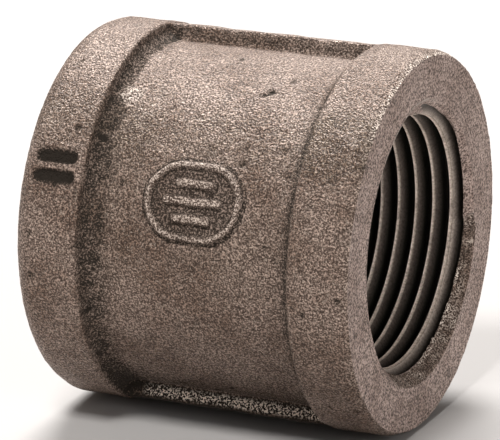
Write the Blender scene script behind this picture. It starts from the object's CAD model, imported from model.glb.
"""Looks of a banded 1 inch pipe coupling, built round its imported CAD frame.

The casting is one closed mesh: a sand-cast outside, two machined end faces and
a tapped bore. The raised mark is a second piece on the barrel. Lengths are in
millimetres until a mesh is made, apart from those of the floor, camera and
lights, which are in metres. Angles turn about the axis from -Y towards +Z.
Dirt, wear and stain are painted on the mesh's points for the materials.
"""
import math
import random

import bmesh
import bpy
import numpy as np
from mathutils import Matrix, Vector, noise


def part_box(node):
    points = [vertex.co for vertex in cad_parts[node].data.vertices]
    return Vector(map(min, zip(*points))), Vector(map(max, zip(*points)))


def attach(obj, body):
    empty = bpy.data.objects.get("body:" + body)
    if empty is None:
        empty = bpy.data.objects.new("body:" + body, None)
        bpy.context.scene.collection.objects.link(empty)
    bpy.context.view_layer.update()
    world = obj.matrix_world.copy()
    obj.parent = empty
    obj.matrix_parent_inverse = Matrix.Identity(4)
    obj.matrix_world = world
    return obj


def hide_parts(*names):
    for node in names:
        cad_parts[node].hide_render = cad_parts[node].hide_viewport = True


MM = 0.001
SEED = 11

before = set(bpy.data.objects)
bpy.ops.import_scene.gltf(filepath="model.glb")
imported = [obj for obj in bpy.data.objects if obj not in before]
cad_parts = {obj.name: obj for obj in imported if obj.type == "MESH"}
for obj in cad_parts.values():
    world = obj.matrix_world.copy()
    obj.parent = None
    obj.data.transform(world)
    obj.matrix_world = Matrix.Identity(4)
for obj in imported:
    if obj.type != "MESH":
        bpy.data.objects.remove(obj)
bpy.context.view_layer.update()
casting_low, casting_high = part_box("coupling_casting")

# Sizes taken from the frame.
HALF_LENGTH = casting_high.x / MM
BAND_RADIUS = casting_high.z / MM
FLOOR_HEIGHT = casting_low.z - 0.1 * MM

# The rest of the casting, as in the CAD model.
BARREL_RADIUS = 20.6
NEAR_BAND_WIDTH = 7.4
FAR_BAND_WIDTH = 8.5
CAST_CORNER = 2.9
NEAR_FACING_CUT = 1.2
CHAMBER_RADIUS = 17.0
MOUTH_RADIUS = 16.74
PITCH = 25.4 / 11.5
TAPER = 1 / 32
CREST_RADIUS = 15.16
ROOT_RADIUS = 16.53
CREST_FLAT = 0.20 * PITCH
ROOT_FLAT = 0.08 * PITCH
THREAD_LENGTH = 15.5
THROAT_RADIUS = CREST_RADIUS - TAPER * THREAD_LENGTH
BORE_DEPTH = THREAD_LENGTH + CHAMBER_RADIUS - THROAT_RADIUS
THREAD_PHASE_ANGLE = math.radians(198)
THREAD_PHASE_DEPTH = 1.46
RIB_ANGLES = (math.radians(108), math.radians(288))
RIB_WIDTH = 7.3
RIB_RADIUS = 22.5
FAR_SHOULDER = -HALF_LENGTH + FAR_BAND_WIDTH
NEAR_SHOULDER = HALF_LENGTH - NEAR_BAND_WIDTH

# Cast edges, softer than the CAD model has them.
SHOULDER_EDGE = 0.45
FILLET_LENGTH = 2.5
RIB_FLANK = 0.42

# Two sunk bars on the far band and the raised mark on the barrel, in the CAD
# model's places. The sunk bars are longer, wider and deeper than in it.
SUNK_BARS_X = -16.4
SUNK_BARS_ANGLE = math.radians(27)
SUNK_BARS_SPACING = 2.4
SUNK_BAR_LENGTH = 5.3
SUNK_BAR_WIDTH = 1.55
SUNK_BAR_DEPTH = 0.6
BADGE_X = 0.8
BADGE_ANGLE = math.radians(22)
BADGE_LENGTH = 12.4
BADGE_WIDTH = 9.4
BADGE_BARS = [(2.0, 5.0), (0.0, 7.4), (-2.0, 5.0)]
BADGE_BAR_WIDTH = 1.0
BADGE_HEIGHT = 0.66
BADGE_ROOT = 0.6
BADGE_MARGIN = 1.4

# The cast countersink of the near mouth is off centre, so the facing cut left
# an uneven edge, given here as (angle in degrees, radius). In the rough sector
# the countersink is still as cast, and in the torn one its lip is ragged.
NEAR_MOUTH_EDGE = [
    (10, 16.8), (65, 17.3), (80, 17.5), (95, 17.2), (108, 16.5), (122, 15.95),
    (184.6, 15.95), (185.4, 16.95), (255, 17.1), (290, 16.9), (335, 16.4),
]
ROUGH_SECTOR = (math.radians(181), math.radians(298))
TORN_SECTOR = (math.radians(205), math.radians(268))
LIP_LEAN = 0.55
LIP_REACH = 1.1
END_GAP = 0.02
MOUTH_WEAR_ANGLE = math.radians(72)
MOUTH_WEAR_SPREAD = math.radians(26)
CREST_BURR = 0.09
BURR_WIDTH = 0.16
DEEP_SIDE_START = 0.98
GLINT_ANGLE = math.radians(230)
GLINT_SPREAD = math.radians(28)

# Blow holes that stand out, as (x, angle, radius, depth).
LARGE_PITS = [
    (5.8, math.radians(65), 0.55, 0.30),
    (5.2, math.radians(63), 0.40, 0.22),
    (-14.7, math.radians(39.5), 0.42, 0.25),
    (-12.0, math.radians(38.7), 0.50, 0.30),
]
SMALL_PITS = 90

# Places on the skin, as (x, degrees) and a reach each way in millimetres and
# degrees. A rust place has its strength first.
RUBBED_PLACE = ((-10.6, 56.5), (1.9, 5))
RUST_PLACES = [
    (1.6, (17.5, 44), (5.5, 16)),
    (0.4, (-9.0, 25), (5.5, 50)),
    (0.35, (4.0, 10), (14.0, 25)),
]
SHOULDER_STAIN_ANGLE = math.radians(44)
SHOULDER_STAIN_SPREAD = math.radians(13)
LOW_FILLET_TOP = math.radians(57)
LOW_FILLET_FADE = math.radians(12)
LOW_RIB_REACH = math.radians(20)

# Mesh density.
SKIN_PER_BORE_COLUMN = 3
BORE_COLUMNS = 160
SKIN_COLUMNS = BORE_COLUMNS * SKIN_PER_BORE_COLUMN
CHAMBER_ROWS = 12
BADGE_GRID = (106, 86)
SHARP_ANGLE = math.radians(50)

# The casting's materials, by number.
SKIN, MACHINED, THREADED = range(3)

# Iron colours. The first tints every reflection.
REFLECTION_COLOUR = (1.0, 0.84, 0.74)
GRAIN_HOLLOW = (0.052, 0.033, 0.025)
GRAIN_TIP = (0.41, 0.306, 0.250)
RUST_TINT = (0.30, 0.26, 0.17)
SPECK = (0.48, 0.39, 0.32)
SOOT = (0.014, 0.011, 0.008)
BARE_METAL = (0.85, 0.74, 0.64)
FACE_HOLLOW = (0.100, 0.072, 0.062)
FACE_TIP = (0.600, 0.464, 0.408)
FACE_WORN = (0.40, 0.35, 0.31)
THREAD_DARK = (0.046, 0.035, 0.030)
THREAD_LIGHT = (0.105, 0.082, 0.070)
CREST_DARK = (0.62, 0.51, 0.43)
CREST_LIGHT = (0.98, 0.84, 0.73)
THREAD_OIL = (0.012, 0.012, 0.009)

# Studio, in metres. Lights are (name, location, side of the square, watts).
FLOOR_COLOUR = (0.405, 0.388, 0.376)
FLOOR_REACH = 6.0
WORLD_COLOUR = (1.0, 0.91, 0.85)
WORLD_STRENGTH = 0.18
LIGHTS = [
    ("overhead", (-0.28, 0.52, 0.80), 0.50, 21.5),
    ("front", (0.0, -0.50, 0.75), 0.20, 7.6),
    ("mouth_fill", (0.55, -0.35, 0.25), 0.30, 1.35),
]
CAMERA_AZIMUTH = math.radians(24.54)
CAMERA_ELEVATION = math.radians(16.71)
CAMERA_DISTANCE = 0.4872
CAMERA_LENS = 296.1
CAMERA_SENSOR = 36.0
CAMERA_SHIFT = (-0.0142, 0.0050)


def smooth_step(value):
    value = np.clip(value, 0, 1)
    return value * value * (3 - 2 * value)


def wrapped(angle):
    """Angle brought to between -pi and pi."""
    return (angle + math.pi) % (2 * math.pi) - math.pi


def place(x, radius, angle):
    """Points in millimetres on cylinders about the axis."""
    return np.stack(np.broadcast_arrays(x, -radius * np.cos(angle), radius * np.sin(angle)), axis=-1)


def fractal(points, size, octaves=3):
    """Noise at each point, about -1 to 1, with bumps of roughly this size."""
    flat = points.reshape(-1, 3) / size
    values = [noise.fractal(Vector(point), 1.0, 2.0, octaves) for point in flat]
    return np.array(values).reshape(points.shape[:-1])


# ---------------------------------------------------------------- casting


def skin_angles():
    """Angles of the outer columns, crowded where the rib flanks stand."""
    crowding, spread = 2.2, math.radians(2.2)
    half = RIB_WIDTH / 2 / BAND_RADIUS
    fine = np.linspace(0, 2 * math.pi, 7201)
    density = np.ones_like(fine)
    for centre in RIB_ANGLES:
        for flank in (centre - half, centre + half):
            density += crowding * np.exp(-(wrapped(fine - flank) / spread) ** 2)
    total = np.concatenate(([0], np.cumsum((density[1:] + density[:-1]) / 2)))
    return np.interp(np.arange(SKIN_COLUMNS) / SKIN_COLUMNS * total[-1], total, fine)


def arc(centre, radii, start, end, steps):
    """Points of an elliptical arc in the profile plane, angles in degrees from +X."""
    turn = np.radians(np.linspace(start, end, steps + 1))
    return np.stack([centre[0] + radii[0] * np.cos(turn), centre[1] + radii[1] * np.sin(turn)], axis=-1)


def straight(start, end, radius, spacing):
    """Points along a line parallel to the axis, without its ends."""
    count = max(2, round(abs(end - start) / spacing))
    x = np.linspace(start, end, count + 1)[1:-1]
    return np.stack([x, np.full_like(x, radius)], axis=-1)


def skin_profile():
    """Outside of the casting from the far face to the near face, as (x, radius)."""
    edge = SHOULDER_EDGE
    fillet = (FILLET_LENGTH, BAND_RADIUS - edge - BARREL_RADIUS)
    corner_radius = BAND_RADIUS - CAST_CORNER
    near_corner_x = HALF_LENGTH + NEAR_FACING_CUT - CAST_CORNER
    face_angle = math.degrees(math.acos((HALF_LENGTH - near_corner_x) / CAST_CORNER))
    return np.concatenate([
        arc((-HALF_LENGTH + CAST_CORNER, corner_radius), (CAST_CORNER, CAST_CORNER), 180, 90, 11),
        straight(-HALF_LENGTH + CAST_CORNER, FAR_SHOULDER - edge, BAND_RADIUS, 0.26),
        arc((FAR_SHOULDER - edge, BAND_RADIUS - edge), (edge, edge), 90, 0, 4),
        arc((FAR_SHOULDER + FILLET_LENGTH, BAND_RADIUS - edge), fillet, 180, 270, 10)[1:],
        straight(FAR_SHOULDER + FILLET_LENGTH, NEAR_SHOULDER - FILLET_LENGTH, BARREL_RADIUS, 0.42),
        arc((NEAR_SHOULDER - FILLET_LENGTH, BAND_RADIUS - edge), fillet, 270, 360, 9),
        arc((NEAR_SHOULDER + edge, BAND_RADIUS - edge), (edge, edge), 180, 90, 4)[1:],
        straight(NEAR_SHOULDER + edge, near_corner_x, BAND_RADIUS, 0.42),
        arc((near_corner_x, corner_radius), (CAST_CORNER, CAST_CORNER), 90, face_angle, 5),
    ])


def rib_weight(angle):
    """1 on a rib, 0 beside it, with a steep flank between."""
    weight = np.zeros_like(angle)
    for centre in RIB_ANGLES:
        offset = np.abs(wrapped(angle - centre)) * BAND_RADIUS
        weight = np.maximum(weight, smooth_step((RIB_WIDTH / 2 + RIB_FLANK - offset) / (2 * RIB_FLANK)))
    return weight


def capsule_distance(x, across, length, width):
    """Distance outside a bar with round ends, negative inside it."""
    beyond = np.maximum(np.abs(x) - (length - width) / 2, 0)
    return np.hypot(beyond, across) - width / 2


def sunk_bars(x, angle):
    """How far down each point is in the two bars sunk in the far band, 0 to 1."""
    depth = np.zeros(np.broadcast(x, angle).shape)
    for side in (-0.5, 0.5):
        across = wrapped(angle - SUNK_BARS_ANGLE) * BAND_RADIUS - side * SUNK_BARS_SPACING
        distance = capsule_distance(x - SUNK_BARS_X, across, SUNK_BAR_LENGTH, SUNK_BAR_WIDTH)
        depth = np.maximum(depth, smooth_step(0.4 - distance / 0.5))
    return depth


def make_pits():
    """Blow holes in the cast skin, as (x, angle, radius, depth)."""
    chooser = random.Random(SEED)
    pits = list(LARGE_PITS)
    for _ in range(SMALL_PITS):
        x = chooser.uniform(-HALF_LENGTH + 1, HALF_LENGTH - 1)
        angle = chooser.uniform(0, 2 * math.pi)
        radius = chooser.uniform(0.22, 0.45)
        pits.append((x, angle, radius, radius * 0.5))
    return pits


def pit_depth(x, radius, angle):
    """How deep the blow holes are at each point."""
    depth = np.zeros(np.broadcast(x, angle).shape)
    for pit_x, pit_angle, pit_radius, pit_floor in make_pits():
        away = np.hypot(x - pit_x, wrapped(angle - pit_angle) * radius) / pit_radius
        depth = np.maximum(depth, pit_floor * smooth_step(1.3 - away))
    return depth


def cast_relief(points):
    """Height of the sand-cast skin above the true surface."""
    return 0.10 * fractal(points, 7.0) + 0.055 * fractal(points, 2.4) + 0.03 * fractal(points, 0.9, 2)


def foot_dirt(angle):
    """Dirt packed along the foot of each rib, most under the lower one."""
    dirt = np.zeros_like(angle)
    for centre, amount, reach in zip(RIB_ANGLES, (0.25, 1.0), (2.0, 11.0)):
        away = np.abs(wrapped(angle - centre)) * BARREL_RADIUS - RIB_WIDTH / 2
        fade = smooth_step(1 - away / reach) ** 1.6
        dirt = np.maximum(dirt, amount * smooth_step((away + 0.1) / 0.4) * fade)
    return dirt


def patch(x, angle, centre, reach):
    """1 at a place on the skin, fading to 0 at this reach, as (mm, degrees)."""
    along = (x - centre[0]) / reach[0]
    across = wrapped(angle - math.radians(centre[1])) / math.radians(reach[1])
    return smooth_step(1.4 - 1.4 * np.hypot(along, across))


def far_hollow(x, angle, patchy):
    """1 in the dirty hollow beside the far band, which is wider low on the front."""
    low_part = smooth_step((LOW_FILLET_TOP - wrapped(angle)) / LOW_FILLET_FADE)
    reach = 1.9 + 1.7 * low_part + (2.4 * patchy - 1.2) * (0.5 + 0.5 * low_part)
    start = smooth_step((x - FAR_SHOULDER + 0.15) / 0.3)
    return start * smooth_step((FAR_SHOULDER + reach - x) / (0.6 + 1.8 * low_part))


def near_crease(x):
    """A dark line beside the near band, with a faint shade past it."""
    past = NEAR_SHOULDER - x
    line = 0.9 * np.exp(-((past - 0.85) / 0.42) ** 2)
    return line + 0.22 * smooth_step(1 - past / 3.2) * (past > 0)


def rust_stain(x, angle, patchy):
    """Brown patches, and a brown band along the shoulder of the casting."""
    offset = np.abs(wrapped(angle - SHOULDER_STAIN_ANGLE))
    stain = 0.6 * smooth_step(1.2 - offset / SHOULDER_STAIN_SPREAD)
    for strength, centre, reach in RUST_PLACES:
        stain = stain + strength * patch(x, angle, centre, reach)
    return np.clip(stain, 0, 1) * (0.6 + 0.4 * patchy)


def on_low_rib(angle, base):
    """Where the skin is the lower rib or the ground beside it."""
    return (np.abs(wrapped(angle - RIB_ANGLES[1])) < LOW_RIB_REACH) * (base < RIB_RADIUS)


def rib_dirt(angle, base, rib, flank, fine):
    """Dirt on the upper rib's front flank, and at the lower rib's foot and crown."""
    top_flank = flank * (wrapped(angle - RIB_ANGLES[0]) < 0)
    foot = smooth_step((0.45 - rib) / 0.3) * smooth_step(rib / 0.03)
    crown = smooth_step((rib - 0.9) / 0.08)
    low_rib = on_low_rib(angle, base) * (foot + crown + 0.75 * (rib > 0.2))
    return (0.45 + 0.5 * fine) * top_flank + low_rib


def rib_wear(x, angle, base, rib):
    """Rubbed flank of the lower rib, from a little way past the far band."""
    flank = smooth_step((rib - 0.12) / 0.2) * smooth_step((0.90 - rib) / 0.15)
    return on_low_rib(angle, base) * flank * smooth_step((x - FAR_SHOULDER - 2.2) / 1.5)


def face_edge_wear(from_face, angle):
    """Rubbed edges of the end faces, most on top."""
    upward = smooth_step((np.sin(angle) - 0.60) / 0.25)
    return np.clip(1 - from_face / 0.8, 0, 1) * (0.15 + 0.85 * upward)


def make_skin(angles):
    """Rows of points from the far face to the near face, with their dirt, wear and stain."""
    profile = skin_profile()
    x = profile[:, :1]
    base = profile[:, 1:]
    angle = angles[None, :]
    between = (x > FAR_SHOULDER - SHOULDER_EDGE) & (x < NEAR_SHOULDER + SHOULDER_EDGE)
    rib = rib_weight(angle) * between
    bare = 1 - rib
    below_band = smooth_step((BAND_RADIUS - base) / 0.8)
    flank = 4 * rib * bare * below_band
    radius = base + rib * np.maximum(0, RIB_RADIUS - base)

    # Noise that breaks up the relief and the marks, finest first.
    points = place(x, radius, angle)
    fine = fractal(points, 0.7, 2)
    jagged = fractal(points, 0.9, 3)
    patchy = 0.5 + 0.5 * fractal(points, 3.0, 3)

    # Relief. It dies out at the faces, where only the edge is ragged.
    hollow = far_hollow(x, angle, patchy) * bare
    sunk = sunk_bars(x, angle)
    pits = pit_depth(x, radius, angle)
    from_face = HALF_LENGTH - np.abs(x)
    calm = smooth_step(from_face / 0.9)
    relief = cast_relief(points) + (0.15 * flank + 0.12 * hollow) * fine
    radius = radius + calm * (relief - pits) - SUNK_BAR_DEPTH * sunk + 0.14 * (1 - calm) * jagged

    # Marks for the material.
    rubbed = patch(x, angle, *RUBBED_PLACE)
    packed = (0.92 + 0.3 * fine + 0.5 * jagged) * hollow * (1 - rubbed)
    foot = foot_dirt(angle) * between * below_band
    dirt = 2.5 * sunk + pits / 0.15 + packed + (near_crease(x) * between + foot) * bare
    dirt = dirt + rib_dirt(angle, base, rib, flank, fine)
    wear = face_edge_wear(from_face, angle) * smooth_step(1.3 * patchy + 0.5 * jagged)
    wear = wear + 0.5 * rubbed * (1 + fine) + (1.1 + 0.9 * fine) * rib_wear(x, angle, base, rib)
    stain = rust_stain(x, angle, patchy)
    return place(x, radius, angle), np.clip(dirt, 0, 2.5), np.clip(wear, 0, 1), stain


def face_outward(mesh):
    """Turns every face of a closed mesh outward."""
    bm = bmesh.new()
    bm.from_mesh(mesh)
    bmesh.ops.recalc_face_normals(bm, faces=bm.faces)
    bm.to_mesh(mesh)
    bm.free()


class Shell:
    """Points, marks and faces of one mesh, gathered row by row."""

    def __init__(self):
        self.points = []
        self.faces = []
        self.kinds = []
        self.marks = {"dirt": [], "wear": [], "stain": []}

    def add(self, points, dirt=0.0, wear=0.0, stain=0.0):
        """Adds a row of points and returns their numbers."""
        start = len(self.points)
        self.points += list(points)
        for name, value in (("dirt", dirt), ("wear", wear), ("stain", stain)):
            self.marks[name] += list(np.broadcast_to(value, len(points)))
        return np.arange(start, start + len(points))

    def face(self, corners, kind):
        """Adds a face, without the corners that fall together."""
        corners = [corner for index, corner in enumerate(corners) if corner != corners[index - 1]]
        if len(corners) > 2:
            self.faces.append(corners)
            self.kinds.append(kind)

    def strip(self, row, following, kind):
        """Quads between two open rows of the same count."""
        for index in range(len(row) - 1):
            self.face((row[index], row[index + 1], following[index + 1], following[index]), kind)

    def join(self, ring, following, kind):
        """Quads between two rings of the same count."""
        for index in range(len(ring)):
            after = (index + 1) % len(ring)
            self.face((ring[index], ring[after], following[after], following[index]), kind)

    def thin_out(self, fine, coarse, kind):
        """Joins a fine ring to one with fewer points."""
        ratio = len(fine) // len(coarse)
        for index in range(len(coarse)):
            after = (index + 1) % len(coarse)
            span = [fine[(index * ratio + step) % len(fine)] for step in range(ratio + 1)]
            middle = ratio // 2
            fans = [(span[step], span[step + 1], coarse[index]) for step in range(middle)]
            fans.append((span[middle], span[middle + 1], coarse[after], coarse[index]))
            fans += [(span[step], span[step + 1], coarse[after]) for step in range(middle + 1, ratio)]
            for corners in fans:
                self.face(corners, kind)

    def make(self, name, materials):
        """Makes the object. A face's kind is the number of its material."""
        mesh = bpy.data.meshes.new(name)
        mesh.from_pydata([tuple(np.asarray(point) * MM) for point in self.points], [], self.faces)
        for material in materials:
            mesh.materials.append(material)
        mesh.polygons.foreach_set("material_index", self.kinds)
        face_outward(mesh)
        for mark, values in self.marks.items():
            mesh.attributes.new(mark, "FLOAT", "POINT").data.foreach_set("value", values)
        mesh.update()
        mesh.shade_smooth()
        mesh.set_sharp_from_angle(angle=SHARP_ANGLE)
        piece = bpy.data.objects.new(name, mesh)
        bpy.context.collection.objects.link(piece)
        return piece


def thread_radius(along, depth):
    """Radius of the tapped surface, with a burr along the crest's deep edge.

    along runs through each pitch from a groove's centre.
    """
    offset = np.abs((along / PITCH + 0.5) % 1 - 0.5) * PITCH
    rise = (offset - ROOT_FLAT / 2) / ((PITCH - CREST_FLAT - ROOT_FLAT) / 2)
    burr = CREST_BURR * (np.abs(along % PITCH - (PITCH + CREST_FLAT) / 2) < 0.02)
    return ROOT_RADIUS - (ROOT_RADIUS - CREST_RADIUS) * np.clip(rise, 0, 1) - TAPER * depth - burr


def thread_stations():
    """Places within one pitch where the thread's outline needs a point."""
    root = ROOT_FLAT / 2
    crest = (PITCH - CREST_FLAT) / 2
    flank = crest - root
    half = [0.0, root, root + flank * 0.33, root + flank * 0.66, crest, crest + BURR_WIDTH]
    return np.array(half + [PITCH - along for along in reversed(half[1:])])


def mouth_radii(angles, side):
    """Radius of the mouth's edge. The far mouth is plain."""
    if side < 0:
        return np.full_like(angles, MOUTH_RADIUS)
    return np.interp(np.degrees(angles), *zip(*NEAR_MOUTH_EDGE), period=360)


def in_sector(angle, sector):
    return sector[0] < angle < sector[1]


def bore_rows():
    """Depths of the rows at the thread's starting angle, and the rows in one turn."""
    stations = thread_stations()
    first = THREAD_PHASE_DEPTH - PITCH * 2
    turns = math.ceil((BORE_DEPTH - first) / PITCH) + 1
    rows = np.concatenate([first + PITCH * count + stations for count in range(turns)])
    return rows, len(stations)


def bore_column(rows, shift, edge):
    """One column of the bore, whose rows are shifted along the helix.

    Returns each point's depth and radius, how far it lies outside the crest's
    radius, how far past the first groove it is, and whether the chamfer from
    the mouth's edge cut it. Beside the face the first lip leans inward.
    """
    groove = THREAD_PHASE_DEPTH + shift
    depth = rows + shift
    plain = thread_radius(rows - THREAD_PHASE_DEPTH, depth)
    near_face = smooth_step((2.4 - groove) / 0.8)
    lean = LIP_LEAN * near_face * smooth_step((groove - depth) / LIP_REACH)
    depth = depth + lean * smooth_step(depth / 0.3)
    chamfer = edge - depth
    radius = np.maximum(np.maximum(plain, chamfer), THROAT_RADIUS + depth - THREAD_LENGTH)
    height = plain - (CREST_RADIUS - TAPER * depth)
    return depth, radius, height, depth - groove, chamfer >= plain


def thread_marks(along, height, past, angle):
    """Dirt in the groove, and wear on the crest, most along its deep edge.

    height is how far a point lies outside the crest's radius, and past is how
    far it is past the first groove.
    """
    first_crest = smooth_step(1 - past / PITCH)
    deep_side = smooth_step((along % PITCH - DEEP_SIDE_START) / 0.12)
    glint = smooth_step(1 - abs(wrapped(angle - GLINT_ANGLE)) / GLINT_SPREAD)
    rubbed = 0.08 + 0.7 * first_crest + (0.9 + 1.5 * glint) * deep_side
    wear = np.clip(1 - height / (0.15 + 0.6 * first_crest), 0, 1) * rubbed * (past > 0)
    dirt = np.clip((height - 0.15) / (0.7 + 0.6 * first_crest), 0, 1)
    return dirt, wear


def join_columns(shell, numbers, kinds, phase, stride, chamber):
    """Faces between the bore's columns. The last meets the first a turn further in."""
    order = np.argsort(phase)
    for column, following in zip(order, np.roll(order, -1)):
        this_row = numbers[column]
        next_row = numbers[following]
        if following == order[0]:
            next_row = np.concatenate([next_row[stride:], np.full(stride, chamber[following])])
        for row in range(len(this_row) - 1):
            corners = (this_row[row], this_row[row + 1], next_row[row + 1], next_row[row])
            shell.face(corners, kinds[column, row + 1])


def add_bore(shell, angles, side):
    """Tapped bore of one end. side is 1 at the near end and -1 at the far end.

    A column of points runs down the bore at each angle, moved along so that
    its rows follow the thread. A point within END_GAP of either end becomes the
    end ring's own. Returns the rings at the mouth and the chamber.
    """
    chooser = random.Random(SEED + side)
    rows, stride = bore_rows()
    turn = angles if side > 0 else (math.pi - angles)
    phase = wrapped(turn - THREAD_PHASE_ANGLE) / (2 * math.pi) * PITCH
    edges = mouth_radii(angles, side)
    edge_wear = smooth_step(1.5 - np.abs(wrapped(angles - MOUTH_WEAR_ANGLE)) / MOUTH_WEAR_SPREAD)
    mouth = shell.add(place(side * HALF_LENGTH, edges, angles), 0.0, edge_wear)
    chamber = shell.add(place(side * (HALF_LENGTH - BORE_DEPTH), CHAMBER_RADIUS, angles), 1.0, 0.0)
    numbers = np.zeros((len(angles), len(rows)), int)
    kinds = np.full(numbers.shape, THREADED)
    for column, (angle, shift, edge) in enumerate(zip(angles, phase, edges)):
        depth, radius, height, past, cut = bore_column(rows, shift, edge)
        inside = (depth > END_GAP) & (depth < BORE_DEPTH - END_GAP)
        rough = side > 0 and in_sector(angle, ROUGH_SECTOR)
        kinds[column, (past < 0) & (height < 0.5)] = MACHINED
        kinds[column, cut] = SKIN if rough else MACHINED
        wobble = np.zeros_like(radius)
        points = place(side * (HALF_LENGTH - depth), radius, angle)
        wobble[inside] = fractal(points[inside], 0.8, 2)
        dirt, wear = thread_marks(rows - THREAD_PHASE_DEPTH, height, past, angle)
        dirt = np.where(cut, rough * (0.25 - 0.4 * wobble), dirt)
        wear = np.where(cut, rough * (0.12 + 0.8 * wobble), wear)
        radius = radius + np.where(cut & rough, 0.15, 0.02) * wobble
        if side > 0 and in_sector(angle, TORN_SECTOR):
            torn = chooser.random() ** 1.5
            lip = np.flatnonzero(cut & inside)[-3:]
            radius[lip[-1:]] -= 0.35 * torn
            wear[lip] = 2.4 * torn
            dirt[lip] = 0.0
        points = place(side * (HALF_LENGTH - depth), radius, angle)
        marks = (np.clip(dirt, 0, 1)[inside], np.clip(wear, 0, 1)[inside])
        numbers[column, depth <= END_GAP] = mouth[column]
        numbers[column, depth >= BORE_DEPTH - END_GAP] = chamber[column]
        numbers[column, inside] = shell.add(points[inside], *marks)
    join_columns(shell, numbers, kinds, phase, stride, chamber)
    return mouth, chamber


def add_face(shell, ring, mouth, angles, bore_angles, side):
    """Machined end face, from the skin's last ring to the mouth."""
    outer = math.hypot(*shell.points[ring[0]][1:])
    for share in (0.02, 0.2):
        radius = outer + (mouth_radii(angles, side) - outer) * share
        following = shell.add(place(side * HALF_LENGTH, radius, angles))
        shell.join(ring, following, MACHINED)
        ring = following
    for share in (0.4, 0.6, 0.8, 0.95):
        radius = outer + (mouth_radii(bore_angles, side) - outer) * share
        following = shell.add(place(side * HALF_LENGTH, radius, bore_angles))
        if len(ring) > len(following):
            shell.thin_out(ring, following, MACHINED)
        else:
            shell.join(ring, following, MACHINED)
        ring = following
    shell.join(ring, mouth, MACHINED)


def add_chamber(shell, ring, last_ring, angles):
    """Rough wall between the two threads."""
    start, end = (shell.points[edge[0]][0] for edge in (ring, last_ring))
    for x in np.linspace(start, end, CHAMBER_ROWS)[1:-1]:
        rough = 0.08 * fractal(place(x, CHAMBER_RADIUS, angles), 2.4)
        following = shell.add(place(x, CHAMBER_RADIUS + rough, angles), 0.6)
        shell.join(ring, following, SKIN)
        ring = following
    shell.join(ring, last_ring, SKIN)


def make_casting(materials):
    angles = skin_angles()
    bore_angles = angles[::SKIN_PER_BORE_COLUMN]
    shell = Shell()
    rings = [shell.add(*row) for row in zip(*make_skin(angles))]
    for ring, following in zip(rings, rings[1:]):
        shell.join(ring, following, SKIN)
    chambers = {}
    for side, ring in ((1, rings[-1]), (-1, rings[0])):
        mouth, chambers[side] = add_bore(shell, bore_angles, side)
        add_face(shell, ring, mouth, angles, bore_angles, side)
    add_chamber(shell, chambers[1], chambers[-1], bore_angles)
    return shell.make("cast_body", materials)


# ------------------------------------------------------------------ badge


def make_badge(materials):
    """Raised mark: an oval rim round three bars, on a skirt that sinks into the barrel."""
    half_length = BADGE_LENGTH / 2 + BADGE_MARGIN
    half_width = BADGE_WIDTH / 2 + BADGE_MARGIN
    x = BADGE_X + np.linspace(-half_length, half_length, BADGE_GRID[0])[:, None]
    across = np.linspace(-half_width, half_width, BADGE_GRID[1])[None, :]
    angle = BADGE_ANGLE + across / BARREL_RADIUS
    ground = place(x, BARREL_RADIUS, angle)
    drift = 0.12 * fractal(ground, 1.6, 2)
    outside = capsule_distance(x - BADGE_X, across, BADGE_LENGTH, BADGE_WIDTH) + drift
    ridge = smooth_step(1.35 - np.abs(outside + 0.55) / 0.45)
    for offset, length in BADGE_BARS:
        away = capsule_distance(x - BADGE_X, across - offset, length, BADGE_BAR_WIDTH) + drift
        ridge = np.maximum(ridge, smooth_step(0.5 - away / 0.45))
    skirt = 0.08 - 0.5 * smooth_step((outside - 0.1) / 0.8)
    height = skirt + BADGE_HEIGHT * ridge + cast_relief(ground) + 0.03 * fractal(ground, 0.5, 2)
    top = place(x, BARREL_RADIUS + height, angle)
    ridge_foot = np.clip(1 - np.abs(ridge - 0.30) / 0.40, 0, 1)
    rim_foot = 0.8 * smooth_step(1 - np.abs(outside - 0.25) / 0.6)
    dirt = (ridge_foot + rim_foot) * (ridge < 0.7) + 0.5 * (outside < 0) * (1 - ridge)
    wear = 0.35 * ridge ** 3
    shell = Shell()
    rows = [shell.add(*row) for row in zip(top, np.clip(dirt, 0, 1), wear)]
    low = [shell.add(place(row_x, BARREL_RADIUS - BADGE_ROOT, angle[0])) for row_x in x[:, 0]]
    for grid in (rows, low):
        for row, following in zip(grid, grid[1:]):
            shell.strip(row, following, SKIN)
    for end in (0, -1):
        shell.strip(rows[end], low[end], SKIN)
        shell.strip([row[end] for row in rows], [row[end] for row in low], SKIN)
    return shell.make("raised_mark", materials)


# -------------------------------------------------------------- materials


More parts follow.
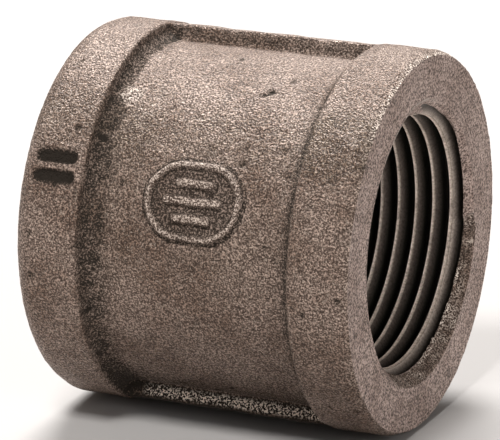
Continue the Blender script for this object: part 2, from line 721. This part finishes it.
class Surface:
    """Procedural material on a Principled shader."""

    def __init__(self, name, metallic, specular):
        self.material = bpy.data.materials.new(name)
        self.material.use_nodes = True
        self.tree = self.material.node_tree
        self.shader = self.tree.nodes["Principled BSDF"]
        self.shader.inputs["Metallic"].default_value = metallic
        self.shader.inputs["Specular IOR Level"].default_value = specular
        self.shader.inputs["Specular Tint"].default_value = (*REFLECTION_COLOUR, 1.0)
        self.coordinates = self.add("ShaderNodeTexCoord").outputs["Object"]

    def add(self, kind, **settings):
        node = self.tree.nodes.new(kind)
        for name, value in settings.items():
            setattr(node, name, value)
        return node

    def feed(self, socket, value):
        if isinstance(value, bpy.types.NodeSocket):
            self.tree.links.new(value, socket)
        else:
            socket.default_value = value

    def noise(self, size, detail=3.0, roughness=0.5, coordinates=None):
        """Noise with bumps of this size in millimetres."""
        node = self.add("ShaderNodeTexNoise")
        self.feed(node.inputs["Vector"], coordinates or self.coordinates)
        node.inputs["Scale"].default_value = 1 / (size * MM)
        node.inputs["Detail"].default_value = detail
        node.inputs["Roughness"].default_value = roughness
        return node.outputs["Fac"]

    def mark(self, name):
        """A mark painted on the mesh's points."""
        return self.add("ShaderNodeAttribute", attribute_name=name).outputs["Fac"]

    def ramp(self, value, stops):
        """Colours or greys along a value, as (place, colour) pairs."""
        node = self.add("ShaderNodeValToRGB")
        self.feed(node.inputs["Fac"], value)
        elements = node.color_ramp.elements
        while len(elements) < len(stops):
            elements.new(0.5)
        for element, (position, colour) in zip(elements, stops):
            element.position = position
            shade = colour if isinstance(colour, tuple) else (colour,) * 3
            element.color = (*shade, 1.0)
        return node.outputs["Color"]

    def math(self, operation, first, second=0.0):
        node = self.add("ShaderNodeMath", operation=operation)
        self.feed(node.inputs[0], first)
        self.feed(node.inputs[1], second)
        return node.outputs["Value"]

    def mix(self, share, first, second, blend="MIX"):
        node = self.add("ShaderNodeMix", data_type="RGBA", blend_type=blend)
        self.feed(node.inputs["Factor"], share)
        self.feed(node.inputs["A"], first if not isinstance(first, tuple) else (*first, 1.0))
        self.feed(node.inputs["B"], second if not isinstance(second, tuple) else (*second, 1.0))
        return node.outputs["Result"]

    def bump(self, height, depth, normal=None):
        """Relief this many millimetres deep."""
        node = self.add("ShaderNodeBump")
        self.feed(node.inputs["Height"], height)
        node.inputs["Distance"].default_value = depth * MM
        if normal:
            self.feed(node.inputs["Normal"], normal)
        return node.outputs["Normal"]

    def finish(self, colour, roughness, normal):
        self.feed(self.shader.inputs["Base Color"], colour)
        self.feed(self.shader.inputs["Roughness"], roughness)
        self.feed(self.shader.inputs["Normal"], normal)
        return self.material


def cast_skin(name):
    """Sand-cast iron: pale grain tips over brown hollows, rust, packed soot and rubbed metal."""
    surface = Surface(name, metallic=0.15, specular=0.6)
    grain = surface.noise(0.21, 1.0, 0.6)
    sand = surface.noise(0.46, 2.0, 0.6)
    coarse = surface.noise(1.7, 3.0, 0.6)
    cloud = surface.noise(8.0, 4.0, 0.6)
    dirt = surface.mark("dirt")
    tips = surface.ramp(grain, [(0.38, 0.0), (0.51, 0.26), (0.66, 1.0)])
    colour = surface.mix(tips, GRAIN_HOLLOW, GRAIN_TIP)
    tone = surface.ramp(cloud, [(0.38, (0.66, 0.59, 0.54)), (0.58, (1.06, 1.06, 1.06))])
    colour = surface.mix(1.0, colour, tone, "MULTIPLY")
    spots = surface.ramp(coarse, [(0.30, 0.72), (0.42, 1.0)])
    colour = surface.mix(1.0, colour, spots, "MULTIPLY")
    mottled = surface.ramp(coarse, [(0.34, 1.0), (0.62, 0.45)])
    rust = surface.math("MULTIPLY", surface.mark("stain"), mottled)
    colour = surface.mix(rust, colour, surface.mix(1.0, colour, RUST_TINT, "MULTIPLY"))
    specks = surface.ramp(surface.noise(0.30, 1.0, 0.5), [(0.60, 0.0), (0.68, 0.38)])
    colour = surface.mix(specks, colour, SPECK)
    between_tips = surface.ramp(grain, [(0.44, 1.0), (0.62, 0.45)])
    colour = surface.mix(surface.math("MULTIPLY", dirt, between_tips), colour, SOOT)
    on_tips = surface.ramp(grain, [(0.49, 0.0), (0.56, 1.0)])
    worn = surface.math("MULTIPLY", surface.mark("wear"), on_tips)
    colour = surface.mix(worn, colour, BARE_METAL)
    polish = surface.ramp(grain, [(0.40, 0.62), (0.62, 0.34)])
    roughness = surface.math("ADD", polish, surface.math("MULTIPLY", dirt, 0.5))
    normal = surface.bump(coarse, 0.18)
    normal = surface.bump(sand, 0.36, normal)
    normal = surface.bump(grain, 0.25, normal)
    return surface.finish(colour, roughness, normal)


def machined_face():
    """Faced iron: faint turning marks in a dull mauve-brown grain."""
    surface = Surface("machined_face", metallic=0.1, specular=0.4)
    grain = surface.noise(0.24, 1.5, 0.6)
    blotch = surface.noise(1.6, 3.0, 0.6)
    cloud = surface.noise(5.0, 4.0, 0.6)
    separate = surface.add("ShaderNodeSeparateXYZ")
    surface.feed(separate.inputs["Vector"], surface.coordinates)
    square_y = surface.math("POWER", separate.outputs["Y"], 2.0)
    square_z = surface.math("POWER", separate.outputs["Z"], 2.0)
    radius = surface.math("SQRT", surface.math("ADD", square_y, square_z))
    combine = surface.add("ShaderNodeCombineXYZ")
    surface.feed(combine.inputs["X"], radius)
    rings = surface.noise(0.30, 2.0, 0.7, combine.outputs["Vector"])
    turned = surface.math("MULTIPLY", rings, 0.25)
    tone = surface.math("ADD", turned, surface.math("MULTIPLY", grain, 0.75))
    colour = surface.ramp(tone, [(0.41, FACE_HOLLOW), (0.60, FACE_TIP)])
    stain = surface.ramp(cloud, [(0.38, (0.78, 0.75, 0.73)), (0.58, (1.0, 1.0, 1.0))])
    colour = surface.mix(1.0, colour, stain, "MULTIPLY")
    dark = surface.ramp(blotch, [(0.30, 0.55), (0.40, 1.0)])
    colour = surface.mix(1.0, colour, dark, "MULTIPLY")
    broken = surface.ramp(blotch, [(0.36, 0.0), (0.54, 1.0)])
    worn = surface.math("MULTIPLY", surface.mark("wear"), broken)
    colour = surface.mix(worn, colour, FACE_WORN)
    roughness = surface.ramp(tone, [(0.35, 0.66), (0.65, 0.50)])
    normal = surface.bump(rings, 0.035)
    normal = surface.bump(grain, 0.20, normal)
    return surface.finish(colour, roughness, normal)


def tapped_thread():
    """Tapped iron: oily dark grooves between crests that are rubbed bright."""
    surface = Surface("tapped_thread", metallic=0.15, specular=0.35)
    grain = surface.noise(0.3, 3.0, 0.6)
    streak = surface.noise(2.2, 4.0, 0.6)
    colour = surface.ramp(grain, [(0.36, THREAD_DARK), (0.64, THREAD_LIGHT)])
    streaked = surface.ramp(streak, [(0.32, 0.55), (0.50, 1.0)])
    crest = surface.math("MULTIPLY", surface.mark("wear"), streaked)
    speckled = surface.ramp(grain, [(0.36, CREST_DARK), (0.60, CREST_LIGHT)])
    colour = surface.mix(crest, colour, speckled)
    colour = surface.mix(surface.mark("dirt"), colour, THREAD_OIL)
    roughness = surface.ramp(streak, [(0.35, 0.56), (0.65, 0.36)])
    return surface.finish(colour, roughness, surface.bump(grain, 0.07))


def plain_floor():
    surface = Surface("pale_floor", metallic=0.0, specular=0.2)
    surface.shader.inputs["Base Color"].default_value = (*FLOOR_COLOUR, 1.0)
    surface.shader.inputs["Roughness"].default_value = 0.9
    return surface.material


# ------------------------------------------------------------------ stage


def aim(item, target):
    """Turns a camera or light to face a point."""
    item.rotation_euler = (Vector(target) - item.location).to_track_quat("-Z", "Y").to_euler()


def make_camera():
    """Looks down on the near mouth and the barrel's front, from a long lens."""
    camera = bpy.data.objects.new("camera", bpy.data.cameras.new("camera"))
    bpy.context.collection.objects.link(camera)
    level = math.cos(CAMERA_ELEVATION)
    direction = Vector((
        math.sin(CAMERA_AZIMUTH) * level,
        -math.cos(CAMERA_AZIMUTH) * level,
        math.sin(CAMERA_ELEVATION),
    ))
    camera.location = direction * CAMERA_DISTANCE
    camera.data.lens = CAMERA_LENS
    camera.data.sensor_width = CAMERA_SENSOR
    camera.data.shift_x, camera.data.shift_y = CAMERA_SHIFT
    camera.data.clip_start = 0.01
    camera.data.clip_end = 20.0
    aim(camera, (0, 0, 0))
    bpy.context.scene.camera = camera


def make_light(name, location, size, power):
    """A square soft light, turned to the coupling."""
    light = bpy.data.lights.new(name, "AREA")
    light.size = size
    light.energy = power
    item = bpy.data.objects.new(name, light)
    bpy.context.collection.objects.link(item)
    item.location = location
    aim(item, (0, 0, 0))


def make_floor():
    mesh = bpy.data.meshes.new("floor")
    corners = [(-1, -1), (1, -1), (1, 1), (-1, 1)]
    points = [(x * FLOOR_REACH, y * FLOOR_REACH, FLOOR_HEIGHT) for x, y in corners]
    mesh.from_pydata(points, [], [(0, 1, 2, 3)])
    mesh.materials.append(plain_floor())
    floor = bpy.data.objects.new("floor", mesh)
    bpy.context.collection.objects.link(floor)


def make_world():
    world = bpy.data.worlds.new("studio")
    world.use_nodes = True
    background = world.node_tree.nodes["Background"]
    background.inputs["Color"].default_value = (*WORLD_COLOUR, 1.0)
    background.inputs["Strength"].default_value = WORLD_STRENGTH
    bpy.context.scene.world = world
    bpy.context.scene.view_settings.view_transform = "Standard"


def main():
    make_camera()
    make_floor()
    make_world()
    for light in LIGHTS:
        make_light(*light)
    casting = make_casting([cast_skin("cast_skin"), machined_face(), tapped_thread()])
    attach(casting, "root")
    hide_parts("coupling_casting")
    badge = make_badge([cast_skin("raised_mark_skin")])
    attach(badge, "root")
    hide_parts("maker_badge")


main()
